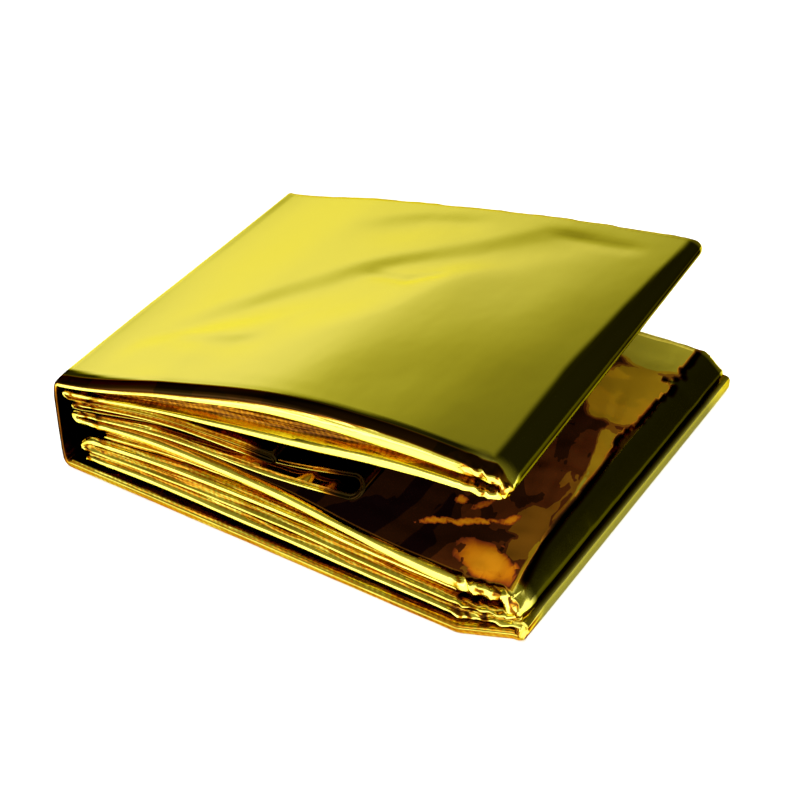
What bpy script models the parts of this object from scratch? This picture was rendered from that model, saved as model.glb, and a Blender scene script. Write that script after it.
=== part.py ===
"""Emergency foil blanket folded into its flat packet.

One strip, made of many thin plies of metallised film lying together, goes back and forth in
leaves from its inner end, round the spine and under the packet to its outer end.
Metres, +Z up. The spine faces -X, the free side opens towards +X, and the strip's two long
edges face -Y (front) and +Y (back). The origin is the middle of the packet's underside.
"""

import math
from collections import namedtuple

import bpy
from mathutils import Vector

MM = 0.001

# Driving dimensions
WIDTH = 123.0 * MM
DEPTH = 105.5 * MM
SPINE_BOW = 2.4
LEAF_START = 3.6 * MM
COVER_START = 2.4 * MM
FREE_END_INSET = 8.0 * MM
STATION_SPACING = WIDTH / 4

# Resolution of the folded section, and the rows between the front and the back edge
LEAF_STEP = 7.5 * MM
FOLD_STEPS = 6
WIDE_FOLD_STEPS = 12
ROWS = (0.0, 0.06, 0.25, 0.5, 0.75, 0.94, 1.0)

# Beyond this distance the front corners of the lower leaves are cut back by this share
FRONT_CORNER = 111.0 * MM
FRONT_CORNER_SHARE = 0.7

GOLD = (0.72, 0.58, 0.06, 1.0)
FILM_ROUGHNESS = 0.25

# One row for each leaf, from the top down, in millimetres. The heights are those of the leaf's
# middle plane, and the halves half the thickness of its bundle of plies, at equal stations from
# the spine, a quarter of the width apart.
# front_right and back_right: where the leaf's right end lies at either edge.
# bulge: how far the front edge stands out at the right. back_shift: the same at the back.
# back_share: the thickness at the back edge against that at the front edge.
Leaf = namedtuple(
    "Leaf", "name front_right back_right bulge back_shift back_share front_heights back_heights halves"
)
LEAVES = (
    Leaf("top_cover", 114.6, 116.0, 0.0, 3.0, 0.5,
         (24.7, 31.6, 38.0, 40.0, 39.5), (24.6, 28.5, 32.9, 37.6, 42.0), (0.6, 1.8, 2.5, 2.2, 1.2)),
    Leaf("top_lining", 114.6, 116.0, 0.0, 3.0, 0.5,
         (22.95, 28.0, 31.9, 35.1, 36.0), (23.0, 26.3, 30.0, 34.4, 38.6), (0.55, 1.4, 2.9, 2.0, 1.2)),
    Leaf("first_tuck_upper", 60.0, 57.0, -0.5, 0.0, 0.9,
         (21.5, 25.6, 25.5), (21.5, 24.7, 25.2), (0.5, 0.6, 0.65)),
    Leaf("first_tuck_lower", 60.0, 57.0, -1.0, 0.0, 0.9,
         (20.2, 24.0, 23.5), (20.2, 23.1, 23.2), (0.5, 0.6, 0.65)),
    Leaf("second_tuck_upper", 80.0, 83.0, -6.0, -1.0, 0.9,
         (18.9, 22.4, 21.7, 26.2), (18.9, 21.5, 21.3, 25.4), (0.5, 0.6, 0.55, 0.6)),
    Leaf("second_tuck_lower", 80.0, 83.0, -0.5, -1.0, 0.9,
         (17.6, 20.5, 20.0, 22.2), (17.6, 19.7, 19.6, 20.9), (0.5, 0.9, 0.8, 0.75)),
    Leaf("stack_top", 117.5, 122.5, 2.7, 0.0, 0.8,
         (15.6, 17.4, 15.9, 12.3, 11.2), (15.5, 16.6, 15.4, 12.7, 11.8), (0.7, 1.5, 1.4, 0.9, 0.8)),
    Leaf("inner_upper", 108.0, 112.0, -3.0, -1.0, 0.8,
         (13.0, 14.3, 13.1, 10.2, 9.2), (12.9, 13.6, 12.9, 10.5, 9.6), (0.6, 1.0, 0.9, 0.65, 0.55)),
    Leaf("inner_lower", 108.0, 112.0, 1.0, 0.0, 0.8,
         (10.7, 11.8, 11.0, 8.5, 7.5), (10.7, 11.4, 10.8, 8.8, 7.9), (0.6, 1.0, 0.8, 0.65, 0.55)),
    Leaf("stack_floor", 121.0, 127.5, 3.4, 1.5, 0.8,
         (8.4, 9.2, 8.9, 6.7, 5.0), (8.4, 9.0, 8.6, 6.9, 5.2), (0.6, 1.0, 0.9, 0.8, 0.7)),
    Leaf("under_lining", 122.5, 129.0, 4.4, 3.0, 0.8,
         (5.4, 6.0, 5.3, 4.2, 3.1), (5.4, 5.8, 5.2, 4.3, 3.2), (0.6, 1.2, 1.1, 0.9, 0.7)),
    Leaf("under_cover", 122.5, 129.0, 6.2, 3.5, 1.0,
         (0.8, 0.8, 0.8, 0.8, 0.8), (0.8, 0.8, 0.8, 0.8, 0.8), (0.8, 0.8, 0.8, 0.8, 0.8)),
)

# The strip's route through the leaves, from its inner end to its outer end. A turn joins a leaf
# to the next: how far it bows out past the leaves' ends, how square its bow is, and half the
# thickness in its middle.
Turn = namedtuple("Turn", "leaf bow squareness steps half")
ROUTE = (
    Turn("inner_upper", 1.2, 2.0, FOLD_STEPS, 0.55),
    Turn("inner_lower", 1.2, 2.0, FOLD_STEPS, 0.65),
    Turn("stack_floor", 2.8, 2.4, WIDE_FOLD_STEPS, 0.9),
    Turn("stack_top", 0.9, 2.0, FOLD_STEPS, 0.5),
    Turn("second_tuck_lower", 2.4, 2.0, FOLD_STEPS, 0.65),
    Turn("second_tuck_upper", 0.8, 2.0, FOLD_STEPS, 0.45),
    Turn("first_tuck_lower", 1.2, 2.0, FOLD_STEPS, 0.55),
    Turn("first_tuck_upper", 0.8, 2.0, FOLD_STEPS, 0.45),
    Turn("top_lining", 3.4, 2.0, FOLD_STEPS, 1.1),
    Turn("top_cover", SPINE_BOW, 5.0, WIDE_FOLD_STEPS, 0.5),
    Turn("under_cover", 1.6, 2.0, FOLD_STEPS, 0.7),
    Turn("under_lining", 0.0, 2.0, 0, 0.0),
)
THICKEST_HALF = 3.0 * MM

# A point of the strip's middle surface, with half the strip's thickness there
Place = namedtuple("Place", "point half")


def value_at(values, x):
    """Smooth curve through a leaf's values at its equal stations."""
    place = min(max(x / STATION_SPACING, 0.0), len(values) - 1.001)
    first = int(place)
    t = place - first
    before = values[max(first - 1, 0)]
    start = values[first]
    end = values[first + 1]
    after = values[min(first + 2, len(values) - 1)]
    slope_in = (end - before) / 2
    slope_out = (after - start) / 2
    cubic = (2 * t**3 - 3 * t**2 + 1) * start + (3 * t**2 - 2 * t**3) * end
    cubic += (t**3 - 2 * t**2 + t) * slope_in + (t**3 - t**2) * slope_out
    return cubic * MM


def front_y(bulge, x):
    """Y of a leaf's front edge, which bows out towards the right and is cut back at the corner."""
    reach = bulge * MM * min(x, FRONT_CORNER) / FRONT_CORNER
    past = max(x - FRONT_CORNER, 0.0) / (WIDTH - FRONT_CORNER)
    return -reach * (1 - FRONT_CORNER_SHARE * min(past, 1.0))


def leaf_place(leaf, x, row):
    """Place on a leaf at a distance from the spine and a share of the packet's depth."""
    near = Vector((x, front_y(leaf.bulge, x), value_at(leaf.front_heights, x)))
    far = Vector((x, DEPTH + leaf.back_shift * MM * x / WIDTH, value_at(leaf.back_heights, x)))
    half = value_at(leaf.halves, x) * (1 + (leaf.back_share - 1) * row)
    return Place(near.lerp(far, row), half)


def leaf_ends(leaf, row):
    """Where a leaf begins at the spine side and ends at the right, at one share of the depth."""
    outer = leaf.name in ("top_cover", "under_cover")
    right = ((1 - row) * leaf.front_right + row * leaf.back_right) * MM
    return COVER_START if outer else LEAF_START, right


def turn_places(start, end, sideways, turn):
    """Round fold between the ends of two leaves, bowed out sideways."""
    places = []
    for step in range(1, turn.steps):
        angle = math.pi * step / turn.steps
        power = 2.0 / turn.squareness
        along = math.copysign(abs(math.cos(angle)) ** power, math.cos(angle))
        out = math.sin(angle) ** power
        share = (1 - along) / 2
        middle = start.point.lerp(end.point, share)
        leaf_half = start.half + (end.half - start.half) * share
        half = leaf_half + (turn.half * MM - leaf_half) * math.sin(angle)
        places.append(Place(middle + Vector((sideways * turn.bow * MM * out, 0.0, 0.0)), half))
    return places


def strip_row(row):
    """The whole strip's section at one share of the depth, from its inner to its outer end."""
    leaves = {leaf.name: leaf for leaf in LEAVES}
    places = []
    for order, turn in enumerate(ROUTE):
        leaf = leaves[turn.leaf]
        rightwards = order % 2 == 0
        left, right = leaf_ends(leaf, row)
        if turn in (ROUTE[0], ROUTE[-1]):
            left += FREE_END_INSET
        count = round((leaf.front_right * MM - left) / LEAF_STEP)
        leaf_run = []
        for step in range(count + 1):
            share = step / count if rightwards else 1 - step / count
            leaf_run.append(leaf_place(leaf, left + (right - left) * share, row))
        if places:
            places += turn_places(places[-1], leaf_run[0], -1.0 if rightwards else 1.0, ROUTE[order - 1])
        places += leaf_run
    return places


def film_material():
    material = bpy.data.materials.new("gold_film")
    material.use_nodes = True
    shader = material.node_tree.nodes["Principled BSDF"]
    shader.inputs["Base Color"].default_value = GOLD
    shader.inputs["Metallic"].default_value = 1.0
    shader.inputs["Roughness"].default_value = FILM_ROUGHNESS
    return material


def folded_strip():
    """The strip's middle surface, lofted over its rows, then given its thickness."""
    rows = [strip_row(row) for row in ROWS]
    across = len(rows[0])
    places = [place for row in rows for place in row]
    faces = []
    for row in range(len(rows) - 1):
        for column in range(across - 1):
            corner = row * across + column
            faces.append((corner, corner + 1, corner + 1 + across, corner + across))
    mesh = bpy.data.meshes.new("foil_blanket")
    mesh.from_pydata([place.point for place in places], [], faces)
    mesh.materials.append(film_material())
    blanket = bpy.data.objects.new("foil_blanket", mesh)
    bundle = blanket.vertex_groups.new(name="bundle_thickness")
    for index, place in enumerate(places):
        bundle.add([index], place.half / THICKEST_HALF, "REPLACE")
    solidify = blanket.modifiers.new("thickness", "SOLIDIFY")
    solidify.thickness = 2 * THICKEST_HALF
    solidify.offset = 0.0
    solidify.use_even_offset = True
    solidify.vertex_group = bundle.name
    return blanket


def stand_on_origin(blanket):
    """Move the mesh so that the origin is the middle of the packet's underside."""
    graph = bpy.context.evaluated_depsgraph_get()
    solid = blanket.evaluated_get(graph).to_mesh()
    lows = [min(vertex.co[axis] for vertex in solid.vertices) for axis in range(3)]
    highs = [max(vertex.co[axis] for vertex in solid.vertices) for axis in range(3)]
    shift = Vector(((lows[0] + highs[0]) / 2, (lows[1] + highs[1]) / 2, lows[2]))
    for vertex in blanket.data.vertices:
        vertex.co -= shift


def build():
    for old in list(bpy.data.objects):
        bpy.data.objects.remove(old, do_unlink=True)
    collection = bpy.data.collections.new("emergency_foil_blanket")
    bpy.context.scene.collection.children.link(collection)
    blanket = folded_strip()
    collection.objects.link(blanket)
    bpy.context.view_layer.update()
    stand_on_origin(blanket)
    blanket.data.shade_smooth()
    blanket.data.set_sharp_from_angle(angle=math.radians(40.0))


build()
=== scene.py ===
import math
from collections import namedtuple

import bpy
import numpy as np
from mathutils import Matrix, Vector


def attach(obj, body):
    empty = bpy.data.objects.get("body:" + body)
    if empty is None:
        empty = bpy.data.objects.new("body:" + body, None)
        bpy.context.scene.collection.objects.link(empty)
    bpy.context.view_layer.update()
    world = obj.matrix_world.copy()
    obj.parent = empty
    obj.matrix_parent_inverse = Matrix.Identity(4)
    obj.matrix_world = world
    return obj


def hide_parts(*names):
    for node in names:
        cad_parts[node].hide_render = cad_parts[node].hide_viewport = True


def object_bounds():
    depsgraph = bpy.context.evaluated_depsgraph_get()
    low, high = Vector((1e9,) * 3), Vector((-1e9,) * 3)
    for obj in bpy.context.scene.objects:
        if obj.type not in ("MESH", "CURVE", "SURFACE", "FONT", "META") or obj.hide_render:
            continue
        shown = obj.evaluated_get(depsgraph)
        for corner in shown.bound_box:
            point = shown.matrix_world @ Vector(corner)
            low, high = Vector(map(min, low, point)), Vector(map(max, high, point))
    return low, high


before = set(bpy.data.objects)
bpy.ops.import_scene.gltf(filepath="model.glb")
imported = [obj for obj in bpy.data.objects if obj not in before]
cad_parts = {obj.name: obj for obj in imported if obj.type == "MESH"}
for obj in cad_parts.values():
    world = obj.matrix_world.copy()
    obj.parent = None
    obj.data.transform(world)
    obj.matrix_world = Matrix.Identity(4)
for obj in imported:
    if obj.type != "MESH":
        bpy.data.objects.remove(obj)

MM = 0.001
cad_low, cad_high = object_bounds()

# Sizes below are in millimetres, from the packet's lower front corner at the spine:
# X runs from the spine to the free side, Y from the front edges to the back ones, Z up.
SPINE_FACE = -0.5
FRONT_REACH = -6.0
PACKET_CORNER = Vector((cad_low.x - SPINE_FACE * MM, cad_low.y - FRONT_REACH * MM, cad_low.z))

WIDTH = 123.0
DEPTH = 105.5
STATION_SPACING = WIDTH / 4
FREE_END_INSET = 7.0
FRONT_CORNER = 111.0
FRONT_CORNER_SHARE = 0.7
LEAF_STARTS = {
    "top_lining": 3.2, "first_tuck_upper": 4.2, "first_tuck_lower": 5.8, "second_tuck_upper": 5.4,
    "second_tuck_lower": 5.2, "stack_top": 6.2, "inner_upper": 6.5, "inner_lower": 10.0,
    "stack_floor": 7.2, "under_lining": 0.6, "top_cover": 2.4, "under_cover": 2.4,
}

# The camera, at the photograph's viewing angle
CAMERA_PLACE = (229.2, -247.0, 258.3)
CAMERA_AZIMUTH = math.radians(28.75)
CAMERA_ELEVATION = math.radians(36.08)
CAMERA_LENS = 76.45

# Leaves from the top down. The heights are those of each leaf's middle, and the halves half its
# thickness, at equal stations from the spine. bulge: how far the front edge stands out at the
# right. back_shift: the same at the back. back_share: the thickness at the back edge against the
# front one.
Leaf = namedtuple(
    "Leaf", "front_right back_right bulge back_shift back_share front_heights back_heights halves"
)
LEAVES = {
    "top_cover": Leaf(
        114.6, 116.0, 0.0, 3.0, 0.5,
        (24.7, 31.6, 38.0, 40.0, 39.5), (24.6, 30.2, 34.9, 39.0, 42.0), (0.6, 1.8, 2.5, 2.2, 1.2)),
    "top_lining": Leaf(
        114.6, 116.0, 0.0, 3.0, 0.5,
        (22.95, 28.0, 31.9, 35.1, 36.0), (23.0, 27.6, 31.7, 35.7, 38.6), (0.55, 1.4, 2.9, 2.0, 1.2)),
    "first_tuck_upper": Leaf(
        60.0, 57.0, -0.5, 0.0, 0.9, (21.5, 25.6, 25.5), (21.5, 24.7, 25.2), (0.5, 0.6, 0.65)),
    "first_tuck_lower": Leaf(
        60.0, 57.0, -1.0, 0.0, 0.9, (20.2, 24.0, 23.5), (20.2, 23.1, 23.2), (0.5, 0.6, 0.65)),
    "second_tuck_upper": Leaf(
        80.0, 83.0, -6.0, -1.0, 0.9,
        (18.9, 22.4, 21.7, 26.2), (18.9, 21.5, 21.3, 25.4), (0.5, 0.6, 0.55, 0.6)),
    "second_tuck_lower": Leaf(
        80.0, 83.0, -0.5, -1.0, 0.9,
        (17.6, 20.5, 20.0, 22.2), (17.6, 19.7, 19.6, 20.9), (0.5, 0.9, 0.8, 0.75)),
    "stack_top": Leaf(
        117.5, 122.5, 2.7, 0.0, 0.8,
        (15.6, 17.4, 15.9, 12.3, 11.2), (15.5, 16.6, 15.4, 12.7, 11.8), (0.7, 1.5, 1.4, 0.9, 0.8)),
    "inner_upper": Leaf(
        108.0, 112.0, -3.0, -1.0, 0.8,
        (13.0, 14.3, 13.1, 10.2, 9.2), (12.9, 13.6, 12.9, 10.5, 9.6), (0.6, 1.0, 0.9, 0.65, 0.55)),
    "inner_lower": Leaf(
        108.0, 112.0, 1.0, 0.0, 0.8,
        (10.7, 11.8, 11.0, 8.5, 7.5), (10.7, 11.4, 10.8, 8.8, 7.9), (0.6, 1.0, 0.8, 0.65, 0.55)),
    "stack_floor": Leaf(
        121.0, 127.5, 3.4, 1.5, 0.8,
        (8.4, 9.2, 8.9, 7.0, 5.8), (8.4, 9.0, 8.6, 7.1, 5.9), (0.6, 1.0, 0.9, 0.8, 0.7)),
    "under_lining": Leaf(
        122.5, 129.0, 4.4, 3.0, 0.8,
        (5.4, 6.0, 5.3, 4.4, 4.2), (5.4, 5.8, 5.2, 4.5, 4.2), (0.6, 1.0, 0.9, 0.8, 0.8)),
    "under_cover": Leaf(
        122.5, 129.0, 6.2, 3.5, 1.0,
        (1.3, 1.4, 1.35, 1.2, 1.15), (1.3, 1.4, 1.35, 1.2, 1.15), (1.3, 1.4, 1.35, 1.2, 1.15)),
}
LEVELS = list(LEAVES)

# How each leaf's front rim is shaped. nose_place: where its bright nose sits across the thickness,
# from -1 at the bottom to 1 at the top. The nose's half height and how far back the upper face
# starts to roll over have a value at the spine and one at the free side. The recesses say how deep
# the plies above and below the nose lie back. The tints are painted shade and self-reflection, how
# deep the film's colour is there, from 0 for bright gold to 1 for nearly black.
Rim = namedtuple(
    "Rim", "nose_place nose_spine nose_free roll_spine roll_free upper_recess lower_recess "
    "nose_tint upper_tint lower_tint"
)
RIMS = {
    "top_cover": Rim(0.1, 0.3, 1.8, 2.4, 2.4, 0.0, 2.2, 0.0, 0.96, 0.66),
    "top_lining": Rim(-0.45, 0.4, 1.6, 0.0, 0.0, 2.0, 0.7, 0.0, 0.66, 0.35),
    "first_tuck_upper": Rim(0.1, 0.2, 0.25, 0.0, 0.0, 0.5, 0.5, 0.25, 0.4, 0.45),
    "first_tuck_lower": Rim(-0.1, 0.3, 0.4, 0.0, 0.0, 0.5, 0.4, 0.05, 0.4, 0.5),
    "second_tuck_upper": Rim(0.1, 0.2, 0.25, 0.0, 0.0, 0.5, 0.5, 0.2, 0.6, 0.7),
    "second_tuck_lower": Rim(-0.1, 0.5, 0.55, 0.0, 0.0, 0.4, 0.3, 0.0, 0.4, 0.45),
    "stack_top": Rim(0.3, 0.6, 1.8, 0.6, 0.6, 0.3, 0.4, 0.0, 0.5, 0.45),
    "inner_upper": Rim(0.2, 0.3, 0.35, 0.0, 0.0, 0.4, 0.4, 0.15, 0.45, 0.5),
    "inner_lower": Rim(-0.2, 0.6, 0.6, 0.0, 0.0, 0.4, 0.4, 0.0, 0.4, 0.55),
    "stack_floor": Rim(-0.3, 0.35, 0.45, 0.0, 0.0, 0.5, 0.4, 0.1, 0.4, 0.6),
    "under_lining": Rim(-0.2, 0.6, 0.55, 0.0, 0.0, 0.5, 0.4, 0.0, 0.4, 0.75),
    "under_cover": Rim(0.5, 0.3, 0.3, 0.0, 0.0, 0.3, 0.3, 0.2, 0.35, 0.4),
}

# How much the front edges of the lower stack's bundles swell, above and below their middle
Swell = namedtuple("Swell", "upper lower")
SWELLS = {
    "second_tuck_lower": Swell(0.0, 0.3),
    "stack_top": Swell(0.3, 0.25),
    "inner_upper": Swell(0.25, 0.2),
    "inner_lower": Swell(0.2, 0.25),
    "stack_floor": Swell(0.3, 0.5),
    "under_lining": Swell(0.6, 0.0),
}

# How much they swell at the free corner
CORNER_SWELLS = {
    "inner_lower": Swell(0.2, 0.2),
    "under_lining": Swell(0.1, 0.6),
    "under_cover": Swell(0.2, 0.0),
}

# The finish of the leaves' faces on the strip's outer side: tint and shade, which are painted shade
# and reflection, satin sheen and crumpling. HIDDEN_FACE: the inner side, dark with painted shade
Face = namedtuple("Face", "tint shade satin crumple")
HIDDEN_FACE = Face(0.6, 0.9, 0.2, 0.05)
FACES = {
    "top_cover": Face(0.0, 0.0, 1.0, 0.0),
    "top_lining": Face(0.5, 0.3, 0.2, 0.4),
    "second_tuck_lower": Face(0.6, 0.6, 0.2, 0.1),
    "stack_top": Face(0.72, 0.0, 0.1, 1.0),
    "under_cover": Face(0.0, 0.2, 0.6, 0.2),
}

# The strip's route through the leaves, from its inner to its outer end. A turn bows out past the
# leaves' ends by its bow, and the greater its squareness, the flatter it stands. nose: where the
# bright nose runs in it. nose_tint and beside: the painted shade tints of that nose and of the plies
# beside it. tint, shade and satin: the finish of its outer side, tint and shade being painted shade
# and reflection. inward: how far its front rim widens inward.
Turn = namedtuple(
    "Turn", "leaf bow squareness steps half inward nose nose_tint beside tint shade satin"
)
ROUTE = (
    Turn("inner_upper", 1.2, 2.0, 8, 0.55, 0.0, 0.0, 0.2, 0.5, 0.5, 0.5, 0.2),
    Turn("inner_lower", 1.0, 2.0, 8, 0.65, 0.0, 0.0, 0.2, 0.5, 0.5, 0.5, 0.2),
    Turn("stack_floor", 2.6, 6.0, 36, 0.9, 1.6, 0.0, 0.0, 0.2, 0.0, 0.8, 0.5),
    Turn("stack_top", 0.9, 2.0, 8, 0.5, 0.0, 0.0, 0.1, 0.5, 0.5, 0.5, 0.2),
    Turn("second_tuck_lower", 2.4, 2.0, 12, 0.65, 0.0, 0.0, 0.95, 1.0, 0.8, 0.97, 0.2),
    Turn("second_tuck_upper", 0.8, 2.0, 8, 0.45, 0.0, 0.0, 0.15, 0.5, 0.5, 0.5, 0.2),
    Turn("first_tuck_lower", 1.2, 2.0, 8, 0.55, 0.0, 0.0, 0.95, 1.0, 0.8, 0.97, 0.2),
    Turn("first_tuck_upper", 0.8, 2.0, 8, 0.45, 0.0, 0.0, 0.1, 0.5, 0.5, 0.5, 0.2),
    Turn("top_lining", 3.4, 2.4, 24, 1.1, 0.6, 0.0, 0.0, 0.4, 0.0, 0.55, 0.5),
    Turn("top_cover", 2.4, 5.0, 26, 0.65, 0.0, 0.8, 0.7, 1.0, 0.1, 0.3, 0.8),
    Turn("under_cover", 2.1, 6.0, 24, 0.75, 1.6, 0.0, 0.1, 0.3, 0.0, 0.78, 0.5),
    Turn("under_lining", 0.0, 2.0, 0, 0.0, 0.0, 0.0, 0.0, 0.0, 0.0, 0.0, 0.0),
)

# Spacing of the points along the strip, and their number round it
LEAF_STEP = 0.9
END_STEP = 0.5
END_LENGTH = 11.0
DENSE_ROWS = 74
SPARSE_ROWS = 8
DENSE_LEAVES = ("top_cover", "stack_top")
FRONT_RIM_POINTS = 23
BACK_RIM_POINTS = 9
PLY_LOBES = 5

# Painted shade: how much deeper the film's colour is towards both sides of a nose, and on its underside
NOSE_SIDE_SHADE = 0.14
NOSE_UNDERSIDE_SHADE = 0.16

# The top leaf stands up behind its rolled front edge
TOP_CROWN = 1.0
CROWN_ROLL = 4.6

# Dark bands of painted shade where the top leaf rolls over: their width behind its front edge at
# each X, and the X where the one along the free side starts at each Y
Band = namedtuple("Band", "x width")
FRONT_BAND = (
    Band(0.0, 5.4), Band(14.0, 3.6), Band(30.0, 2.4), Band(50.0, 2.4), Band(75.0, 4.6),
    Band(116.0, 5.2),
)
Edge = namedtuple("Edge", "y x")
SIDE_BAND_START = (
    Edge(0.0, 113.0), Edge(25.0, 113.1), Edge(40.0, 112.7), Edge(57.0, 113.5), Edge(71.0, 114.2),
    Edge(87.0, 115.4), Edge(103.0, 117.2),
)
BAND_SHADE = 0.93

# At the free side the front edge of the lower stack's top leaf curls down over the plies below
LIP_START = 80.0
LIP_END = 108.0
LIP_DROP = 2.8

# Soft troughs and ridges of the top leaf: two ends, breadth of the slope towards the front right
# and of the one towards the back left, and depth, negative for a ridge
Trough = namedtuple("Trough", "start end front_side back_side depth")
TOP_TROUGHS = (
    Trough((22.0, 29.0), (55.0, 68.0), 10.0, 9.0, 0.55),
    Trough((50.0, 64.0), (95.0, 101.0), 9.0, 9.0, 0.5),
    Trough((82.0, 99.0), (108.0, 97.0), 3.0, 4.0, 0.22),
    Trough((47.0, 14.0), (79.0, 72.0), 18.0, 13.0, -0.5),
    Trough((22.0, 23.0), (41.0, 24.0), 4.0, 4.0, 0.3),
    Trough((38.0, 87.0), (64.0, 100.0), 7.0, 8.0, 0.35),
    Trough((49.0, 62.5), (62.0, 61.0), 2.0, 2.0, 0.22),
    Trough((60.0, 61.0), (68.0, 66.5), 2.0, 2.0, 0.18),
    Trough((10.0, 14.0), (40.0, 32.0), 8.0, 8.0, -0.25),
)

# Edge of the dark wrap round the lower stack's free side, as X at each Y. Past it the wrap is darkened
# by painted shade that stands for the dark studio it mirrors
WRAP_EDGE = (
    Edge(-3.0, 121.3), Edge(2.0, 120.8), Edge(11.0, 120.1), Edge(17.0, 119.7), Edge(27.0, 119.8),
    Edge(37.0, 120.3), Edge(46.0, 120.4), Edge(54.0, 120.1), Edge(58.0, 119.6), Edge(64.5, 119.3),
    Edge(69.6, 121.7), Edge(74.0, 121.2), Edge(80.0, 122.6), Edge(87.0, 123.3), Edge(88.8, 119.8),
    Edge(90.6, 123.3), Edge(94.0, 122.5), Edge(102.0, 123.2),
)
WRAP_SHADE = 0.94

# Pale line of painted reflection beside the wrap: its width at each Y, and its tint
ReflectedLine = namedtuple("ReflectedLine", "y width")
WRAP_REFLECTED_LINE = (
    ReflectedLine(-3.0, 0.7), ReflectedLine(23.0, 0.9), ReflectedLine(34.0, 1.0), ReflectedLine(42.0, 1.7), ReflectedLine(54.0, 3.4),
    ReflectedLine(60.0, 3.7),
)
REFLECTED_LINE_TINT = 0.34

# Painted shade that darkens the olive strip under the wrap
STRIP_SHADE = 0.74

# Patches of the lower stack's top: middle, half sizes, turn in degrees, and tint. Their tints are
# painted shade and reflection. Those that glow stand for the warm inside of the top leaf mirrored
# there, a painted reflection, and their tint is their strength.
Patch = namedtuple("Patch", "x y half_x half_y turn tint")
GLOWS = (
    Patch(112.8, 5.4, 7.4, 5.6, -12.0, 1.0),
    Patch(102.0, 15.2, 10.8, 1.3, 31.0, 1.0),
    Patch(110.6, 20.6, 1.2, 3.6, -25.0, 0.9),
    Patch(98.0, 20.8, 2.8, 1.6, 30.0, 0.75),
    Patch(103.5, 22.5, 4.0, 1.2, 60.0, 0.65),
)
STACK_SHADE_AND_REFLECTION_PATCHES = (
    Patch(74.0, 8.0, 26.0, 28.0, 0.0, 0.95),
    Patch(116.0, 19.0, 4.5, 9.0, 10.0, 0.56),
    Patch(106.0, 11.6, 9.0, 1.9, 25.0, 0.9),
    Patch(110.5, 62.0, 5.5, 4.0, 30.0, 0.92),
    Patch(114.5, 77.5, 11.0, 12.5, 0.0, 0.38),
    Patch(115.0, 99.5, 15.0, 9.0, 0.0, 0.24),
)


def curve_through(values, x):
    """Smooth curve through values at the equal stations, at each x."""
    values = np.asarray(values, dtype=float)
    place = np.clip(x / STATION_SPACING, 0.0, len(values) - 1.001)
    first = place.astype(int)
    t = place - first
    before = values[np.maximum(first - 1, 0)]
    start = values[first]
    end = values[first + 1]
    after = values[np.minimum(first + 2, len(values) - 1)]
    slope_in = (end - before) / 2
    slope_out = (after - start) / 2
    cubic = (2 * t**3 - 3 * t**2 + 1) * start + (3 * t**2 - 2 * t**3) * end
    return cubic + (t**3 - 2 * t**2 + t) * slope_in + (t**3 - t**2) * slope_out


def lattice_noise(x, y, seed):
    """Smooth value noise from -1 to 1 on a unit lattice."""
    table = np.random.RandomState(seed).uniform(-1.0, 1.0, (64, 64))
    column = np.floor(x).astype(int)
    row = np.floor(y).astype(int)
    u = x - column
    v = y - row
    u = u * u * (3 - 2 * u)
    v = v * v * (3 - 2 * v)
    near = table[column % 64, row % 64] * (1 - u) + table[(column + 1) % 64, row % 64] * u
    next_row = (row + 1) % 64
    far = table[column % 64, next_row] * (1 - u) + table[(column + 1) % 64, next_row] * u
    return near * (1 - v) + far * v


def ease(value, low, high):
    """0 below low, 1 above high and smooth between them."""
    t = np.clip((value - low) / (high - low), 0.0, 1.0)
    return t * t * (3 - 2 * t)


def front_edge(bulge, x):
    """Y of a leaf's front edge, which bows out towards the right and is cut back at the corner."""
    reach = bulge * np.minimum(x, FRONT_CORNER) / FRONT_CORNER
    past = np.clip((x - FRONT_CORNER) / (WIDTH - FRONT_CORNER), 0.0, 1.0)
    return -reach * (1 - FRONT_CORNER_SHARE * past)


def leaf_stops(left, right):
    """X of a leaf's points, closer together at the free side."""
    plain = np.linspace(left, right - END_LENGTH, round((right - END_LENGTH - left) / LEAF_STEP) + 1)
    close = np.linspace(right - END_LENGTH, right, round(END_LENGTH / END_STEP) + 1)
    return np.concatenate([plain, close[1:]])


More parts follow.
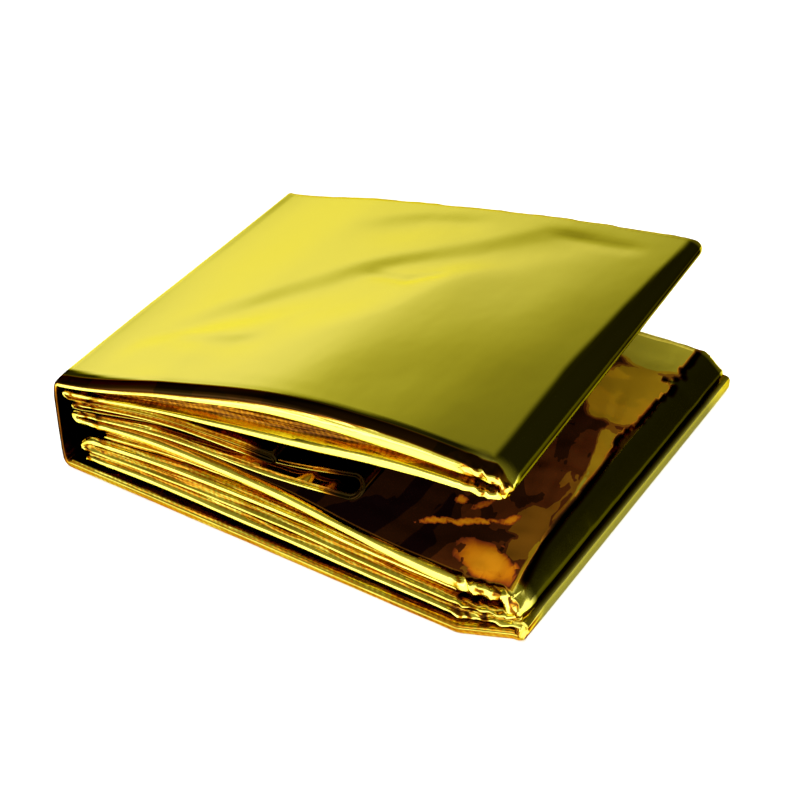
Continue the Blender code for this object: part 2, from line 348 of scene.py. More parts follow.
def leaf_columns(name, rightwards, free_end):
    """Values along one leaf, from where the strip enters it to where it leaves it."""
    leaf = LEAVES[name]
    rim = RIMS[name]
    left = LEAF_STARTS[name] + (FREE_END_INSET if free_end else 0.0)
    front_x = leaf_stops(left, leaf.front_right)
    if not rightwards:
        front_x = front_x[::-1]
    share = (front_x - left) / (leaf.front_right - left)
    back_x = left + (leaf.back_right - left) * share
    half = curve_through(leaf.halves, front_x)
    free = front_x / WIDTH
    nose_half = rim.nose_spine + (rim.nose_free - rim.nose_spine) * ease(front_x, 20.0, 110.0)
    upper, lower = ("plus", "minus") if rightwards else ("minus", "plus")
    side = 1.0 if rightwards else -1.0
    face = FACES.get(name, HIDDEN_FACE)
    swell = SWELLS.get(name, Swell(0.0, 0.0))
    swelling = 1 - ease(front_x, 84.0, 116.0)
    corner_swell = CORNER_SWELLS.get(name, Swell(0.0, 0.0))
    cornering = ease(front_x, 98.0, 114.0)
    lip = LIP_DROP * ease(front_x, LIP_START, LIP_END) * (name == "stack_top")
    # Painted shade: the tuck leaves darken to nearly black towards their right ends, deep in the hollow
    tuck_end_shade = ease(front_x, leaf.front_right - 9.0, leaf.front_right - 1.0) * ("tuck" in name)
    flat = np.ones_like(front_x)
    return {
        "front_x": front_x,
        "front_y": front_edge(leaf.bulge, front_x),
        "front_z": curve_through(leaf.front_heights, front_x),
        "back_x": back_x,
        "back_y": DEPTH + leaf.back_shift * back_x / WIDTH,
        "back_z": curve_through(leaf.back_heights, back_x),
        "half": half,
        "back_half": half * leaf.back_share,
        "nose": side * rim.nose_place * flat,
        "nose_half": nose_half * (1 - 0.45 * (name != "stack_top") * ease(front_x, 100.0, leaf.front_right)),
        "upwards": side * flat,
        "level": LEVELS.index(name) * flat,
        "nose_tint": rim.nose_tint + tuck_end_shade * (1 - rim.nose_tint),
        upper + "_roll": rim.roll_spine + (rim.roll_free - rim.roll_spine) * free,
        lower + "_roll": 0.0 * flat,
        upper + "_recess": rim.upper_recess * flat,
        lower + "_recess": rim.lower_recess * flat,
        upper + "_tint": rim.upper_tint + tuck_end_shade * (1 - rim.upper_tint),
        lower + "_tint": rim.lower_tint + tuck_end_shade * (1 - rim.lower_tint),
        upper + "_lip": swell.upper * swelling + corner_swell.upper * cornering,
        lower + "_lip": lip + swell.lower * swelling + corner_swell.lower * cornering,
        "plus_face": HIDDEN_FACE.tint + tuck_end_shade * (1 - HIDDEN_FACE.tint),
        "minus_face": face.tint * flat,
        "shade": face.shade * flat,
        "satin": face.satin * flat,
        "crumple": face.crumple * flat,
        "top_leaf": float(name == "top_cover") * flat,
        "stack_leaf": float(name == "stack_top") * flat,
        "ground_leaf": float(name == "under_cover") * flat,
        "bend": 0.0 * flat,
    }


def turn_columns(before, after, turn, rightwards):
    """Values round the fold that joins the end of one leaf to the start of the next."""
    angle = np.pi * np.arange(1, turn.steps) / turn.steps
    power = 2.0 / turn.squareness
    cosine = np.cos(angle)
    share = (1 - np.sign(cosine) * np.abs(cosine) ** power) / 2
    bend = np.sin(angle)
    columns = {name: before[name][-1] * (1 - share) + after[name][0] * share for name in before}
    out = bend**power * turn.bow * (1.0 if rightwards else -1.0)
    columns["front_x"] = columns["front_x"] + out
    columns["back_x"] = columns["back_x"] + out
    for name, value in (
        ("half", turn.half), ("back_half", turn.half), ("plus_lip", turn.inward),
        ("nose", turn.nose), ("nose_tint", turn.nose_tint), ("plus_tint", turn.beside),
        ("minus_tint", turn.beside), ("plus_face", turn.beside), ("minus_face", turn.tint),
        ("shade", turn.shade), ("satin", turn.satin),
    ):
        columns[name] = columns[name] * (1 - bend) + value * bend
    columns["minus_roll"] = columns["minus_roll"] * (1 - 0.85 * bend)
    if turn.leaf == "stack_floor":
        columns["stack_leaf"] = np.ones_like(bend)
        columns["shade"] = 0.0 * bend
    columns["bend"] = bend
    return columns


def strip_blocks():
    """The strip's stretches from its inner to its outer end: each leaf, and each turn after it."""
    last = len(ROUTE) - 1
    leaves = [
        leaf_columns(turn.leaf, order % 2 == 0, order in (0, last)) for order, turn in enumerate(ROUTE)
    ]
    blocks = []
    dense = []
    for order, turn in enumerate(ROUTE):
        blocks.append(leaves[order])
        dense.append(turn.leaf in DENSE_LEAVES)
        if order < last:
            blocks.append(turn_columns(leaves[order], leaves[order + 1], turn, order % 2 == 0))
            dense.append(turn.leaf in DENSE_LEAVES or ROUTE[order + 1].leaf in DENSE_LEAVES)
    return blocks, dense


def loop_layout(dense):
    """Points of a loop round the sheet: front rim, outer side, back rim, inner side."""
    rim = np.linspace(1.0, -1.0, FRONT_RIM_POINTS)
    front = 0.5 * rim + 0.5 * np.sin(rim * np.pi / 2)
    back = -np.cos(np.linspace(0.0, np.pi, BACK_RIM_POINTS))
    outer = np.linspace(0.0, 1.0, (DENSE_ROWS if dense else SPARSE_ROWS) + 2)[1:-1] ** 1.2
    inner = np.linspace(1.0, 0.0, SPARSE_ROWS + 2)[1:-1]
    place = np.concatenate([
        np.linspace(0.0, 1.0, FRONT_RIM_POINTS), 1.0 + outer,
        np.linspace(2.0, 3.0, BACK_RIM_POINTS), 4.0 - inner,
    ])
    return front, outer, back, inner, place


def rim_shape(column, across):
    """Setback from the front edge and painted shade tint of the rim's points, for shares across the
    thickness.
    """
    reach_plus = column["half"] + column["plus_lip"]
    reach_minus = column["half"] + column["minus_lip"]
    height = np.where(across > 0, across * reach_plus, across * reach_minus)
    nose = np.minimum(column["nose_half"], (reach_plus + reach_minus) * 0.35)
    middle = (reach_plus - reach_minus) / 2
    centre = middle + column["nose"] * ((reach_plus + reach_minus) / 2 - nose * 0.6)
    offset = height - centre
    inside = np.clip(np.abs(offset) / nose, 0.0, 1.0)
    plus = np.clip((offset - nose) / np.maximum(reach_plus - centre - nose, 0.05), 0.0, 1.0)
    minus = np.clip((-offset - nose) / np.maximum(reach_minus + centre - nose, 0.05), 0.0, 1.0)
    lobes = 0.5 - 0.5 * np.cos(2 * np.pi * PLY_LOBES * across)
    setback = 0.7 * nose * (1 - np.sqrt(1 - inside**2 * 0.98))
    # Painted shade on the nose's sides and underside
    tint = column["nose_tint"] + NOSE_SIDE_SHADE * ease(inside, 0.3, 1.0)
    tint = tint + NOSE_UNDERSIDE_SHADE * ease(-offset * column["upwards"] / nose, 0.1, 0.9)
    rolled = np.zeros_like(height)
    for name, past in (("plus", plus), ("minus", minus)):
        roll = column[name + "_roll"]
        setback = setback + roll * (1 - np.sqrt(1 - past**2 * 0.985))
        depth = np.sin(np.pi / 2 * np.minimum(past * 2.5, 1.0)) + 0.2 * lobes * (past > 0)
        setback = setback + column[name + "_recess"] * depth
        # The plies above and below the nose take their painted shade tint
        tint = tint + (column[name + "_tint"] - tint) * ease(past, 0.0, 0.3)
        rolled = rolled + ease(past * roll, 0.0, 0.6)
    ends = np.abs(across) ** 12 * np.minimum(column["half"], 0.6) * 0.6
    ply_edges = (1 - np.minimum(rolled, 1.0)) * (0.25 + 0.75 * ease(np.maximum(plus, minus), 0.0, 0.2))
    ply_edges = ply_edges * (1 - ease(column["nose_tint"], 0.5, 0.9))
    return setback + ends, tint, height, ply_edges


def top_relief(x, y):
    """Depth of the troughs and ridges of the top leaf."""
    relief = np.zeros_like(x)
    shake_x = 2.4 * lattice_noise(x / 16.0, y / 16.0, 61)
    shake_y = 2.4 * lattice_noise(x / 16.0, y / 16.0, 62)
    x = x + shake_x
    y = y + shake_y
    for trough in TOP_TROUGHS:
        start = np.array(trough.start)
        run = np.array(trough.end) - start
        length = np.linalg.norm(run)
        along = ((x - start[0]) * run[0] + (y - start[1]) * run[1]) / length**2
        side = ((x - start[0]) * run[1] - (y - start[1]) * run[0]) / length
        ends = ease(along, -0.25, 0.25) * (1 - ease(along, 0.75, 1.25))
        front_slope = np.exp(-((side / trough.front_side) ** 2))
        back_slope = ease(side, -trough.back_side, 0.0)
        relief += trough.depth * ends * np.where(side > 0, front_slope, back_slope)
    return relief


def creases(x, y, seed, count, spacing):
    """Straight sharp creases in several directions, as in crumpled film, from -1 to 1."""
    random = np.random.RandomState(seed)
    total = np.zeros_like(x)
    bend_x = x + 0.3 * spacing * lattice_noise(x / spacing, y / spacing, seed + 1)
    bend_y = y + 0.3 * spacing * lattice_noise(x / spacing, y / spacing, seed + 2)
    for _ in range(count):
        angle = random.uniform(0.0, math.pi)
        pitch = spacing * random.uniform(0.7, 1.6)
        phase = random.uniform(0.0, 1.0)
        wave = (bend_x * math.cos(angle) + bend_y * math.sin(angle)) / pitch + phase
        fold = np.abs(wave - np.floor(wave) - 0.5) * 4 - 1
        spread = 2.2 * spacing
        mask = ease(lattice_noise(x / spread, y / spread, random.randint(9999)), -0.3, 0.5)
        total += fold * mask
    return total / count


def wrap_edge(x, y):
    """X of the wrap's ragged edge."""
    plain = np.interp(y, [edge.y for edge in WRAP_EDGE], [edge.x for edge in WRAP_EDGE])
    return plain + 0.9 * lattice_noise(x / 5.0, y / 1.9, 73) * ease(y, 52.0, 66.0)


def patch_distance(patch, x, y):
    """Distance from a patch's middle, 1 at its edge."""
    turn = math.radians(patch.turn)
    right = (x - patch.x) * math.cos(turn) + (y - patch.y) * math.sin(turn)
    back = (y - patch.y) * math.cos(turn) - (x - patch.x) * math.sin(turn)
    return np.hypot(right / patch.half_x, back / patch.half_y)


def stack_shade_glow_and_calm(x, y):
    """Tint, calm, glow and wrap of the lower stack's top, all but calm painted shade and reflection, and the
    distance past the wrap's edge.
    """
    tint = np.full_like(x, FACES["stack_top"].tint)
    calm = np.zeros_like(x)
    glow = np.zeros_like(x)
    shake_x = x + 1.6 * lattice_noise(x / 5.0, y / 5.0, 71)
    shake_y = y + 1.6 * lattice_noise(x / 5.0, y / 5.0, 72)
    # Patches of painted shade and reflection, and glowing patches of painted reflection
    for patch in STACK_SHADE_AND_REFLECTION_PATCHES:
        cover = 1 - ease(patch_distance(patch, shake_x, shake_y), 0.93, 1.07)
        tint = tint + cover * (patch.tint - tint)
        calm = np.maximum(calm, cover)
    for patch in GLOWS:
        glow = np.maximum(glow, patch.tint * (1 - ease(patch_distance(patch, shake_x, shake_y), 0.3, 1.7)))
    past_edge = x - wrap_edge(x, y)
    wrap = ease(past_edge, -0.3, 0.3)
    # A pale line of painted reflection beside the wrap's edge
    width = np.interp(y, [reflected_line.y for reflected_line in WRAP_REFLECTED_LINE], [reflected_line.width for reflected_line in WRAP_REFLECTED_LINE])
    reflected_line = ease(past_edge + width, -0.3, 0.3) * (1 - wrap) * (1 - ease(y, 60.0, 66.0))
    return tint + reflected_line * (REFLECTED_LINE_TINT - tint), calm, glow * (1 - wrap) * (1 - reflected_line), wrap, past_edge


def block_skin(column, layout, normals, length):
    """Points and finish of one stretch of the strip, painted shade included: a loop round the sheet for each
    column.
    """
    front, outer, back, inner, _ = layout
    columns = len(length)
    setback, rim_tint, rim_height, ply_edges = rim_shape(column, front[None, :])
    row = np.arange(FRONT_RIM_POINTS)[None, :] * 0.45
    seed = column["level"] * 7.3
    kinks = 0.1 * lattice_noise(length / 2.6 + row * 0.5, row + seed, 11)
    kinks += 0.3 * lattice_noise(length / 9.0, row * 0.4 + seed, 12)
    kinks = (kinks + 0.2) * (1 - 0.8 * column["ground_leaf"])
    setback = setback + kinks * np.minimum(column["half"], 1.0) * ply_edges

    front_y = column["front_y"]
    back_reach = np.minimum(column["back_half"], 1.0)
    rear_y = column["back_y"] - back_reach
    back_kinks = 0.25 * lattice_noise(length / 2.7, seed, 21)
    bow = np.sqrt(1 - back[None, :] ** 2 * 0.99) + 0.12 * np.cos(9 * back[None, :])
    bow = back_reach * (bow + back_kinks - 0.25)
    low_start = front_y + setback[:, -1:]
    high_start = front_y + setback[:, :1]
    y = np.concatenate([
        front_y + setback,
        low_start + outer[None, :] * (rear_y - low_start),
        rear_y + bow,
        high_start + inner[None, :] * (rear_y - high_start),
    ], axis=1)
    share = (y - front_y) / (column["back_y"] - front_y)

    # Distance from the sheet's middle surface, positive towards its inner side
    half = column["half"] * (1 - share) + column["back_half"] * share
    near_front = 1 - ease(y - front_y, 1.0, 6.0)
    minus_reach = half + column["minus_lip"] * near_front
    plus_reach = half + column["plus_lip"] * near_front
    rim = len(front)
    offset = np.concatenate([
        rim_height,
        -minus_reach[:, rim:rim + len(outer)],
        half[:, rim + len(outer):rim + len(outer) + len(back)] * back[None, :],
        plus_reach[:, rim + len(outer) + len(back):],
    ], axis=1)
    x = column["front_x"] * (1 - share) + column["back_x"] * share
    z = column["front_z"] * (1 - share) + column["back_z"] * share
    normal_x = normals["front_x"] * (1 - share) + normals["back_x"] * share
    normal_z = normals["front_z"] * (1 - share) + normals["back_z"] * share
    size = np.maximum(np.hypot(normal_x, normal_z), 1e-6)
    x = x + normal_x / size * offset
    z = z + normal_z / size * offset

    ones = np.ones((columns, 1))
    on_outer = np.concatenate([
        ease(-front, 0.2, 0.9), np.ones(len(outer)), (1 - back) / 2, np.zeros(len(inner))
    ])[None, :] * ones
    in_rim = np.concatenate([
        np.ones(rim), np.zeros(len(outer)), np.full(len(back), 0.8), np.zeros(len(inner))
    ])[None, :] * ones

    # The top leaf: its rolled front edge, its troughs and ridges
    behind = y - front_y
    inside = ease(x, 4.0, 14.0) * (1 - ease(x, 104.0, 114.0))
    inside = inside * ease(behind, 2.0, 10.0) * (1 - ease(y, 96.0, 105.0))
    crown = TOP_CROWN * np.sqrt(np.clip(behind / CROWN_ROLL, 0.0, 1.0)) * (1 - ease(y, 25.0, 100.0))
    z = z + column["top_leaf"] * on_outer * (crown * (1 - column["bend"]) - top_relief(x, y) * inside)

    # Painted shade: dark bands where the top leaf rolls over, along its front edge and its free side
    wander = 0.5 * lattice_noise(x / 9.0, y / 12.0, 81)
    width = np.interp(x, [band.x for band in FRONT_BAND], [band.width for band in FRONT_BAND])
    front_band = 1 - ease(behind - width + wander * 0.6, -0.5, 0.5)
    side_start = np.interp(y, [edge.y for edge in SIDE_BAND_START], [edge.x for edge in SIDE_BAND_START])
    side_band = ease(x - side_start + 0.4 * wander, -0.9, 0.9)
    band = on_outer * np.maximum(
        column["top_leaf"] * front_band * ease(x, -3.0, 1.0),
        ease(column["top_leaf"], 0.42, 0.6) * side_band,
    )

    # Painted shade and reflections of the lower stack's top, and crumpled film on it at the free side
    tint_on_stack, calm, glow, wrap, past_edge = stack_shade_glow_and_calm(x, y)
    open_side = ease(x, 60.0, 84.0) * ease(behind, 1.0, 5.0) * (1 - 0.7 * ease(x, 118.0, 122.0))
    facets = 0.8 * creases(x, y, 31, 5, 14.0) + 0.45 * creases(x, y, 57, 4, 6.5)
    z = z + column["stack_leaf"] * on_outer * open_side * facets

    # Creased corners at the front of the free side
    corner = ease(x, 105.0, 112.0) * (1 - ease(y, 2.0, 6.0))
    corner = corner * (1 - column["ground_leaf"] * (1 - column["bend"]))
    shown = np.maximum(on_outer, in_rim)
    crumpled_z = z + corner * 0.6 * creases(x, y + z, 91, 4, 4.2) * shown
    x = x + corner * 1.0 * creases(y + 0.5 * z, z, 93, 4, 3.4) * shown
    y = y + corner * 1.4 * creases(x + y, z, 97, 4, 3.2) * in_rim
    z = crumpled_z

    # Creased ends beside the spine
    near_spine = ease(x, 2.6, 4.0) * (1 - ease(x, 8.0, 18.0)) * in_rim
    near_spine = near_spine * (1 - column["top_leaf"]) * (1 - column["ground_leaf"])
    x = x + near_spine * 0.9 * creases(z * 1.2, y, 103, 4, 3.0)
    y = y + near_spine * 0.7 * creases(x + z, z, 107, 4, 3.2)

    waves = 0.16 * lattice_noise(x / 17.0, y / 23.0 + seed, 41)
    z = z + waves * (1 - ease(column["bend"], 0.0, 0.6)) * (1 - column["ground_leaf"])
    z = np.where(column["ground_leaf"] > 0.01, np.maximum(z, 0.0), z)

    # Painted shade and reflection: a tint from bright gold to nearly black, and a shade that darkens the
    # colour
    face_tint = column["plus_face"] + (column["minus_face"] - column["plus_face"]) * on_outer
    on_stack = column["stack_leaf"] * on_outer
    # Painted shade: past its edge the wrap turns nearly black, except at the creased corner
    wrap_tint = (1 - ease(past_edge, 0.8, 2.2)) * (1 - corner)
    tint_on_stack = tint_on_stack + wrap * (wrap_tint - tint_on_stack)
    face_tint = face_tint + on_stack * (tint_on_stack - face_tint)
    shade = column["shade"] * on_outer + HIDDEN_FACE.shade * (1 - on_outer)
    shade = shade + on_stack * ease(past_edge, 0.0, 0.8) * (WRAP_SHADE - shade)
    # Painted shade of the olive strip on the lowest turn, under the wrap
    low_turn = column["bend"] * column["ground_leaf"] * ease(x, 116.0, 118.0)
    strip = on_outer * ease(low_turn, 0.0, 0.1) * (1 - on_stack)
    shade = shade + strip * (STRIP_SHADE - shade)
    # The dark bands' painted shade
    shade = shade + band * (BAND_SHADE - shade)
    # Small dark specks of painted shade in the creases of the corners and beside the spine
    crease_shade_specks = ease(lattice_noise(x / 1.3 + y, z / 0.9, 77), 0.25, 0.45) * in_rim
    # The creased front corners keep no painted shade, so they stay bright
    shade = shade * (1 - corner)
    edges = np.concatenate([
        ply_edges, np.zeros((columns, len(outer))), np.full((columns, len(back)), 0.8),
        np.zeros((columns, len(inner))),
    ], axis=1)
    rim_tint = np.concatenate([
        rim_tint, np.zeros((columns, len(outer))), np.full((columns, len(back)), 0.25),
        np.zeros((columns, len(inner))),
    ], axis=1)
    tint = face_tint * (1 - in_rim) + rim_tint * in_rim
    finish = {
        "painted_shade_tint": np.clip(tint + np.maximum(0.65 * corner, 0.6 * near_spine) * crease_shade_specks, 0.0, 1.0),
        "shade": np.clip(shade, 0.0, 1.0) * (1 - in_rim),
        "satin": column["satin"] * on_outer * (1 - in_rim),
        "mirror": 1 - np.maximum(0.7 * on_stack * (1 - wrap), 0.3 * strip) * (1 - in_rim),
        "glow": glow * on_stack * (1 - in_rim),
        "crumple": column["crumple"] * on_outer * (1 - 0.7 * on_stack * np.maximum(wrap, calm)) * (1 - in_rim)
        + np.maximum(0.2, 0.6 * corner) * in_rim + 0.6 * corner * on_outer * (1 - in_rim),
        "plies": edges,
        "across": offset,
        "along": length * np.ones_like(x),
    }
    return np.stack([x, y, z], axis=2), finish


def stitch(first, second, first_place, second_place):
    """Faces between two loops whose points lie at different places round the sheet."""
    first = np.append(first, first[0]).tolist()
    second = np.append(second, second[0]).tolist()
    first_place = np.append(first_place, 4.0)
    second_place = np.append(second_place, 4.0)
    faces = []
    i = 0
    j = 0
    while i < len(first) - 1 or j < len(second) - 1:
        next_i = first_place[i + 1] if i < len(first) - 1 else math.inf
        next_j = second_place[j + 1] if j < len(second) - 1 else math.inf
        if abs(next_i - next_j) < 1e-9:
            faces.append((first[i], first[i + 1], second[j + 1], second[j]))
            i += 1
            j += 1
        elif next_i < next_j:
            faces.append((first[i], first[i + 1], second[j]))
            i += 1
        else:
            faces.append((first[i], second[j + 1], second[j]))
            j += 1
    return faces


def along_strip(blocks, name):
    return np.concatenate([block[name] for block in blocks])


def strip_mesh():
    """The folded sheet as one closed skin, with its finish and painted shade stored at its points."""
    blocks, dense = strip_blocks()
    names = ("front_x", "front_z", "back_x", "back_z")
    run = {name: np.gradient(along_strip(blocks, name)) for name in names}
    steps = np.hypot(np.diff(along_strip(blocks, "front_x")), np.diff(along_strip(blocks, "front_z")))
    length = np.concatenate([[0.0], np.cumsum(steps)])
    normals = {}
    for edge in ("front", "back"):
        size = np.maximum(np.hypot(run[edge + "_x"], run[edge + "_z"]), 1e-9)
        normals[edge + "_x"] = -run[edge + "_z"] / size
        normals[edge + "_z"] = run[edge + "_x"] / size

    points = []
    finishes = []
    faces = []
    count = 0
    start = 0
    previous = None
    for block, is_dense in zip(blocks, dense):
        layout = loop_layout(is_dense)
        place = layout[-1]
        columns = len(block["front_x"])
        part = slice(start, start + columns)
        column = {name: values[:, None] for name, values in block.items()}
        part_normals = {name: values[part][:, None] for name, values in normals.items()}
        skin, finish = block_skin(column, layout, part_normals, length[part][:, None])
        index = count + np.arange(columns * len(place)).reshape(columns, len(place))
        following = np.roll(index, -1, axis=1)
        quads = np.stack([index[:-1], following[:-1], following[1:], index[1:]], axis=2).reshape(-1, 4)
        if previous is None:
            faces.append(tuple(index[0][::-1].tolist()))
        else:
            faces += stitch(previous[0], index[0], previous[1], place)
        faces += [tuple(quad) for quad in quads.tolist()]
        points.append(skin.reshape(-1, 3))
        finishes.append({name: values.reshape(-1) for name, values in finish.items()})
        previous = (index[-1], place)
        count += index.size
        start += columns
    faces.append(tuple(previous[0].tolist()))

    vertices = np.concatenate(points) * MM + np.array(PACKET_CORNER)
    mesh = bpy.data.meshes.new("gold_film_strip")
    mesh.from_pydata(vertices.tolist(), [], faces)
    mesh.validate()
    mesh.shade_smooth()
    values = {name: np.concatenate([finish[name] for finish in finishes]) for name in finishes[0]}
    for name in ("painted_shade_tint", "shade", "satin", "mirror", "glow", "crumple", "plies"):
        mesh.attributes.new(name, "FLOAT", "POINT").data.foreach_set("value", values[name])
    place = np.stack([values["along"], values["across"], vertices[:, 1] / MM], axis=1)
    mesh.attributes.new("ply_place", "FLOAT_VECTOR", "POINT").data.foreach_set("vector", place.ravel())
    return mesh, float(length[-1]) * MM


class Nodes:
    """Short ways to add the nodes of a material or of the world."""

    def __init__(self, owner, shader="Principled BSDF"):
        owner.use_nodes = True
        self.nodes = owner.node_tree.nodes
        self.links = owner.node_tree.links
        self.shader = self.nodes[shader]

    def add(self, kind, inputs=None, **settings):
        node = self.nodes.new("ShaderNode" + kind)
        for name, value in settings.items():
            setattr(node, name, value)
        for name, value in (inputs or {}).items():
            if isinstance(value, bpy.types.NodeSocket):
                self.links.new(value, node.inputs[name])
            else:
                node.inputs[name].default_value = value
        return node

    def attribute(self, name, output="Fac"):
        return self.add("Attribute", attribute_name=name).outputs[output]

    def math(self, operation, first, second):
        return self.add("Math", {0: first, 1: second}, operation=operation).outputs[0]

    def scaled(self, vector, scale):
        return self.add("VectorMath", {0: vector, 1: scale}, operation="MULTIPLY").outputs[0]

    def mixed(self, factor, first, second):
        return self.add("Mix", {0: factor, 6: first, 7: second}, data_type="RGBA").outputs[2]

    def spread(self, value, start, end):
        """0 at start, 1 at end and smooth between them."""
        inputs = {"Value": value, "From Min": start, "From Max": end}
        return self.add("MapRange", inputs, interpolation_type="SMOOTHSTEP").outputs["Result"]

    def ramp(self, value, stops):
        node = self.add("ValToRGB", {"Fac": value})
        elements = node.color_ramp.elements
        while len(elements) < len(stops):
            elements.new(0.5)
        for element, (position, color) in zip(elements, stops):
            element.position = position
            element.color = (*color, 1.0)
        return node.outputs["Color"]


# Colour of the film by its painted shade tint, from its bright faces to the deep folds, where the
# painted shade stands for the film mirroring itself
FILM_SHADE_COLORS = (
    (0.0, (0.94, 0.87, 0.165)),
    (0.15, (0.80, 0.69, 0.11)),
    (0.3, (0.46, 0.36, 0.03)),
    (0.42, (0.52, 0.23, 0.01)),
    (0.6, (0.24, 0.09, 0.006)),
    (0.8, (0.08, 0.025, 0.004)),
    (1.0, (0.016, 0.010, 0.002)),
)

# The same painted shade and reflection where the film's crumpled inner side shows between the
# leaves, in steps of tone
INNER_SHADE_COLORS = (
    (0.0, (0.20, 0.17, 0.012)),
    (0.16, (0.20, 0.17, 0.012)),
    (0.32, (0.20, 0.115, 0.004)),
    (0.48, (0.115, 0.045, 0.003)),
    (0.64, (0.045, 0.011, 0.002)),
    (0.8, (0.014, 0.004, 0.001)),
    (0.96, (0.004, 0.001, 0.001)),
)

# The patches of painted reflection that glow, from their dark red rims to their middles
GLOW_COLORS = (
    (0.5, (0.09, 0.016, 0.005)),
    (0.62, (0.24, 0.05, 0.004)),
    (0.78, (0.42, 0.13, 0.003)),
    (1.0, (0.50, 0.19, 0.005)),
)
GLOW_START = 0.5
TONE_STEP = 0.16

# Film that mirrors less than this takes the inner colours
INNER_MIRROR = 0.4
SATIN_ROUGHNESS = 0.24
GLOSS_ROUGHNESS = 0.07


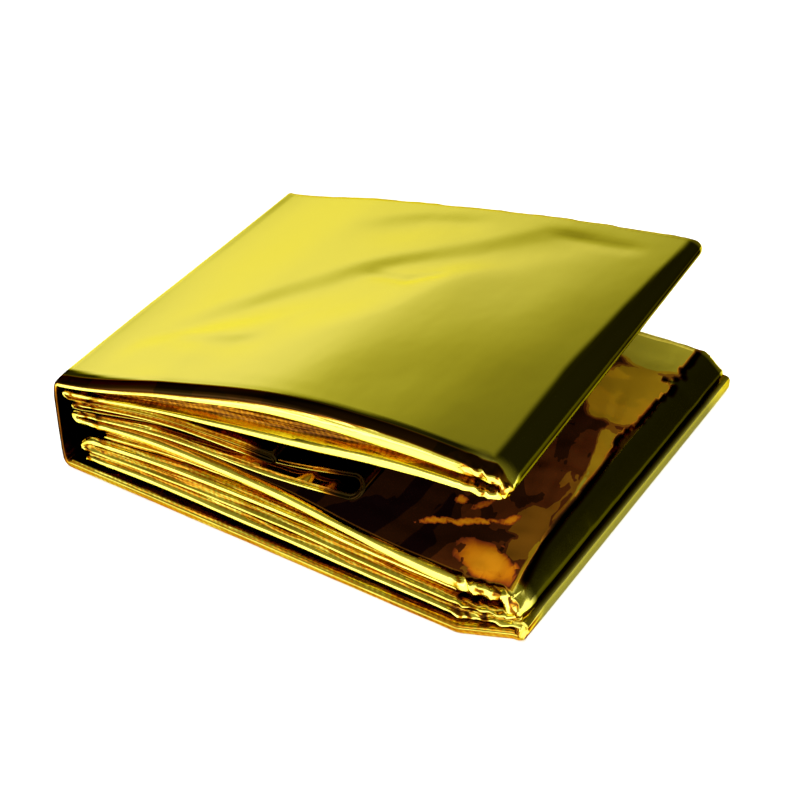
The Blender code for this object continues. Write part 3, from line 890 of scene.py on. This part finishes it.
def gold_film():
    """Metallised film with painted shade in its colour: satin on the top leaf, glossy and crumpled inside,
    ribbed along its rims.
    """
    material = bpy.data.materials.new("gold_film_look")
    nodes = Nodes(material)
    tint = nodes.attribute("painted_shade_tint")
    satin = nodes.attribute("satin")
    crumple = nodes.attribute("crumple")
    plies = nodes.attribute("plies")
    mirror = nodes.attribute("mirror")
    place = nodes.attribute("ply_place", "Vector")
    world_place = nodes.add("TexCoord").outputs["Object"]

    streaks = nodes.add(
        "TexNoise", {"Vector": nodes.scaled(place, (0.09, 2.4, 0.2)), "Scale": 1.0, "Detail": 3.0}
    ).outputs["Fac"]
    ribs = nodes.add(
        "TexWave",
        {"Vector": nodes.scaled(place, (1.0, 0.7, 0.0)), "Scale": 0.42, "Distortion": 2.5, "Detail": 2.0},
        bands_direction="DIAGONAL",
    ).outputs["Fac"]
    wander = nodes.add("TexNoise", {"Vector": world_place, "Scale": 120.0, "Detail": 2.0}).outputs["Color"]
    wander = nodes.scaled(wander, (0.012, 0.012, 0.012))
    drawn_out = nodes.scaled(world_place, (1.0, 0.6, 1.0))
    bent_place = nodes.add("VectorMath", {0: drawn_out, 1: wander}, operation="ADD").outputs[0]
    facets = nodes.add("TexVoronoi", {"Vector": bent_place, "Scale": 130.0}).outputs["Color"]
    facet_parts = nodes.add("SeparateColor", {0: facets})

    # Streaks and ribs along the plies and the crumpled facets vary the painted shade where it is deep
    streak_shade = nodes.math("SUBTRACT", nodes.math("MULTIPLY", streaks, 0.9), 0.45)
    ribbing = nodes.math("MULTIPLY", nodes.math("SUBTRACT", ribs, 0.5), 0.1)
    ply_change = nodes.math("MULTIPLY", nodes.math("ADD", streak_shade, ribbing), plies)
    facet_change = nodes.math("MULTIPLY", nodes.math("SUBTRACT", facet_parts.outputs[0], 0.5), 0.35)
    facet_change = nodes.math("MULTIPLY", facet_change, crumple)
    deepened = nodes.math("MINIMUM", nodes.math("MULTIPLY", tint, 3.0), 1.0)
    change = nodes.math("MULTIPLY", nodes.math("ADD", ply_change, facet_change), deepened)
    value = nodes.math("ADD", tint, change)
    swirls = nodes.add(
        "TexNoise",
        {
            "Vector": nodes.scaled(world_place, (1.3, 0.4, 1.0)), "Scale": 60.0, "Detail": 3.0,
            "Distortion": 1.2,
        },
    ).outputs["Fac"]
    swirls = nodes.math("SUBTRACT", swirls, 0.5)
    shards = nodes.add("TexVoronoi", {"Vector": bent_place, "Scale": 380.0}).outputs["Color"]
    shards = nodes.add("SeparateColor", {0: shards}).outputs[0]
    shards = nodes.math("MULTIPLY", nodes.math("SUBTRACT", shards, 0.5), 0.3)
    # Glowing patches of painted reflection, the warm inside of the top leaf mirrored
    glow = nodes.math("ADD", nodes.math("ADD", nodes.attribute("glow"), shards), swirls)
    glow_color = nodes.ramp(glow, GLOW_COLORS)
    glow = nodes.math("GREATER_THAN", glow, GLOW_START)
    swirls = nodes.math("MULTIPLY", nodes.math("MULTIPLY", swirls, 0.85), crumple)
    # The inner side's painted shade, in steps of tone
    stepped = nodes.math("SNAP", nodes.math("ADD", tint, swirls), TONE_STEP)
    inside = nodes.math("LESS_THAN", mirror, INNER_MIRROR)
    color = nodes.mixed(inside, nodes.ramp(value, FILM_SHADE_COLORS), nodes.ramp(stepped, INNER_SHADE_COLORS))
    color = nodes.mixed(glow, color, glow_color)
    # Painted shade darkens the colour, which also tints the film's edges
    lit = nodes.math("SUBTRACT", 1.0, nodes.attribute("shade"))
    color = nodes.add("VectorMath", {0: color, "Scale": lit}, operation="SCALE").outputs[0]
    nodes.links.new(color, nodes.shader.inputs["Base Color"])
    nodes.links.new(color, nodes.shader.inputs["Specular Tint"])
    nodes.shader.inputs["Specular IOR Level"].default_value = 0.0
    nodes.links.new(mirror, nodes.shader.inputs["Metallic"])
    roughness = nodes.math("MULTIPLY", satin, SATIN_ROUGHNESS - GLOSS_ROUGHNESS)
    roughness = nodes.math("ADD", roughness, GLOSS_ROUGHNESS)
    nodes.links.new(roughness, nodes.shader.inputs["Roughness"])

    tilt = nodes.add("VectorMath", {0: facets, 1: (0.5, 0.5, 0.5)}, operation="SUBTRACT").outputs[0]
    steepness = nodes.math("MULTIPLY", crumple, 0.12)
    tilt = nodes.add("VectorMath", {0: tilt, "Scale": steepness}, operation="SCALE").outputs[0]
    normal = nodes.add("NewGeometry").outputs["Normal"]
    tilted = nodes.add("VectorMath", {0: normal, 1: tilt}, operation="ADD").outputs[0]
    tilted = nodes.add("VectorMath", {0: tilted}, operation="NORMALIZE").outputs[0]
    height = nodes.math("ADD", streaks, nodes.math("MULTIPLY", ribs, 0.1))
    height = nodes.math("MULTIPLY", height, plies)
    ripples = nodes.add("TexNoise", {"Vector": drawn_out, "Scale": 105.0, "Detail": 2.0}).outputs["Fac"]
    height = nodes.math("ADD", height, nodes.math("MULTIPLY", nodes.math("MULTIPLY", ripples, satin), 0.5))
    bump = nodes.add("Bump", {"Height": height, "Normal": tilted, "Strength": 0.5, "Distance": 0.0003})
    nodes.links.new(bump.outputs["Normal"], nodes.shader.inputs["Normal"])
    return material


def blanket():
    mesh, length = strip_mesh()
    mesh.materials.append(gold_film())
    piece = bpy.data.objects.new("gold_film_blanket", mesh)
    bpy.context.scene.collection.objects.link(piece)
    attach(piece, "root")
    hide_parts("foil_blanket")
    return piece


def floor():
    """Plain pale surface under the packet."""
    bpy.ops.mesh.primitive_plane_add(size=6.0, location=(0.0, 0.0, cad_low.z - 0.0001))
    plane = bpy.context.object
    plane.name = "pale_floor"
    material = bpy.data.materials.new("pale_floor")
    nodes = Nodes(material)
    nodes.shader.inputs["Base Color"].default_value = (0.9, 0.9, 0.9, 1.0)
    nodes.shader.inputs["Roughness"].default_value = 0.8
    nodes.shader.inputs["Specular IOR Level"].default_value = 0.2
    plane.data.materials.append(material)


# The studio's brightness by the sine of the height above the horizon
BACK_LIGHT = (
    (0.0, (1.0, 0.95, 1.8)),
    (0.28, (0.96, 0.92, 1.5)),
    (0.38, (0.80, 0.78, 0.72)),
    (0.46, (0.56, 0.54, 0.1)),
    (0.54, (0.36, 0.34, 0.01)),
    (0.62, (0.17, 0.15, 0.0)),
    (0.74, (0.03, 0.025, 0.0)),
    (0.95, (0.45, 0.42, 0.25)),
)
FRONT_LIGHT = (
    (0.0, (0.7, 0.7, 0.7)),
    (0.1, (2.8, 2.8, 3.6)),
    (0.26, (2.8, 2.8, 3.6)),
    (0.42, (0.9, 0.88, 0.6)),
    (0.75, (0.4, 0.38, 0.2)),
)
RIGHT_LIGHT = (0.16, 0.15, 0.04, 1.0)


def studio():
    """World bright low down behind on the left and in front, dark overhead and at the right."""
    world = bpy.data.worlds.new("studio")
    bpy.context.scene.world = world
    nodes = Nodes(world, "Background")
    place = nodes.add("TexCoord").outputs["Generated"]
    split = nodes.add("SeparateXYZ", {"Vector": place}).outputs
    right_side = nodes.spread(split["X"], -0.62, 0.0)
    back = nodes.mixed(right_side, nodes.ramp(split["Z"], BACK_LIGHT), RIGHT_LIGHT)
    in_front = nodes.spread(split["Y"], -0.1, -0.45)
    light = nodes.mixed(in_front, back, nodes.ramp(split["Z"], FRONT_LIGHT))
    from_camera = nodes.add("LightPath").outputs["Is Camera Ray"]
    seen = nodes.mixed(from_camera, light, (1.0, 1.0, 1.0, 1.0))
    nodes.links.new(seen, nodes.shader.inputs["Color"])

    softbox("floor_softbox", (0.0, 0.2, 1.6), (0.0, 0.2, 0.0), 1.6, 42.0)
    softbox("opening_softbox", (1.1, -0.95, 0.5), (0.03, 0.0, 0.02), 0.4, 42.0)


def softbox(name, place, target, size, power):
    """Square lamp that the film itself doesn't mirror."""
    lamp = bpy.data.lights.new(name, "AREA")
    lamp.shape = "SQUARE"
    lamp.size = size
    lamp.energy = power
    box = bpy.data.objects.new(name, lamp)
    box.location = place
    box.rotation_mode = "QUATERNION"
    box.rotation_quaternion = (Vector(target) - Vector(place)).to_track_quat("-Z", "Y")
    box.visible_glossy = False
    bpy.context.scene.collection.objects.link(box)


def camera():
    data = bpy.data.cameras.new("camera")
    data.lens = CAMERA_LENS
    data.sensor_width = 36.0
    data.clip_start = 0.01
    seen = bpy.data.objects.new("camera", data)
    seen.location = PACKET_CORNER + Vector(CAMERA_PLACE) * MM
    back = Vector((
        math.sin(CAMERA_AZIMUTH) * math.cos(CAMERA_ELEVATION),
        -math.cos(CAMERA_AZIMUTH) * math.cos(CAMERA_ELEVATION),
        math.sin(CAMERA_ELEVATION),
    ))
    seen.rotation_mode = "QUATERNION"
    seen.rotation_quaternion = (-back).to_track_quat("-Z", "Y")
    bpy.context.scene.collection.objects.link(seen)
    bpy.context.scene.camera = seen
    bpy.context.scene.view_settings.view_transform = "Standard"


camera()
floor()
studio()
blanket()
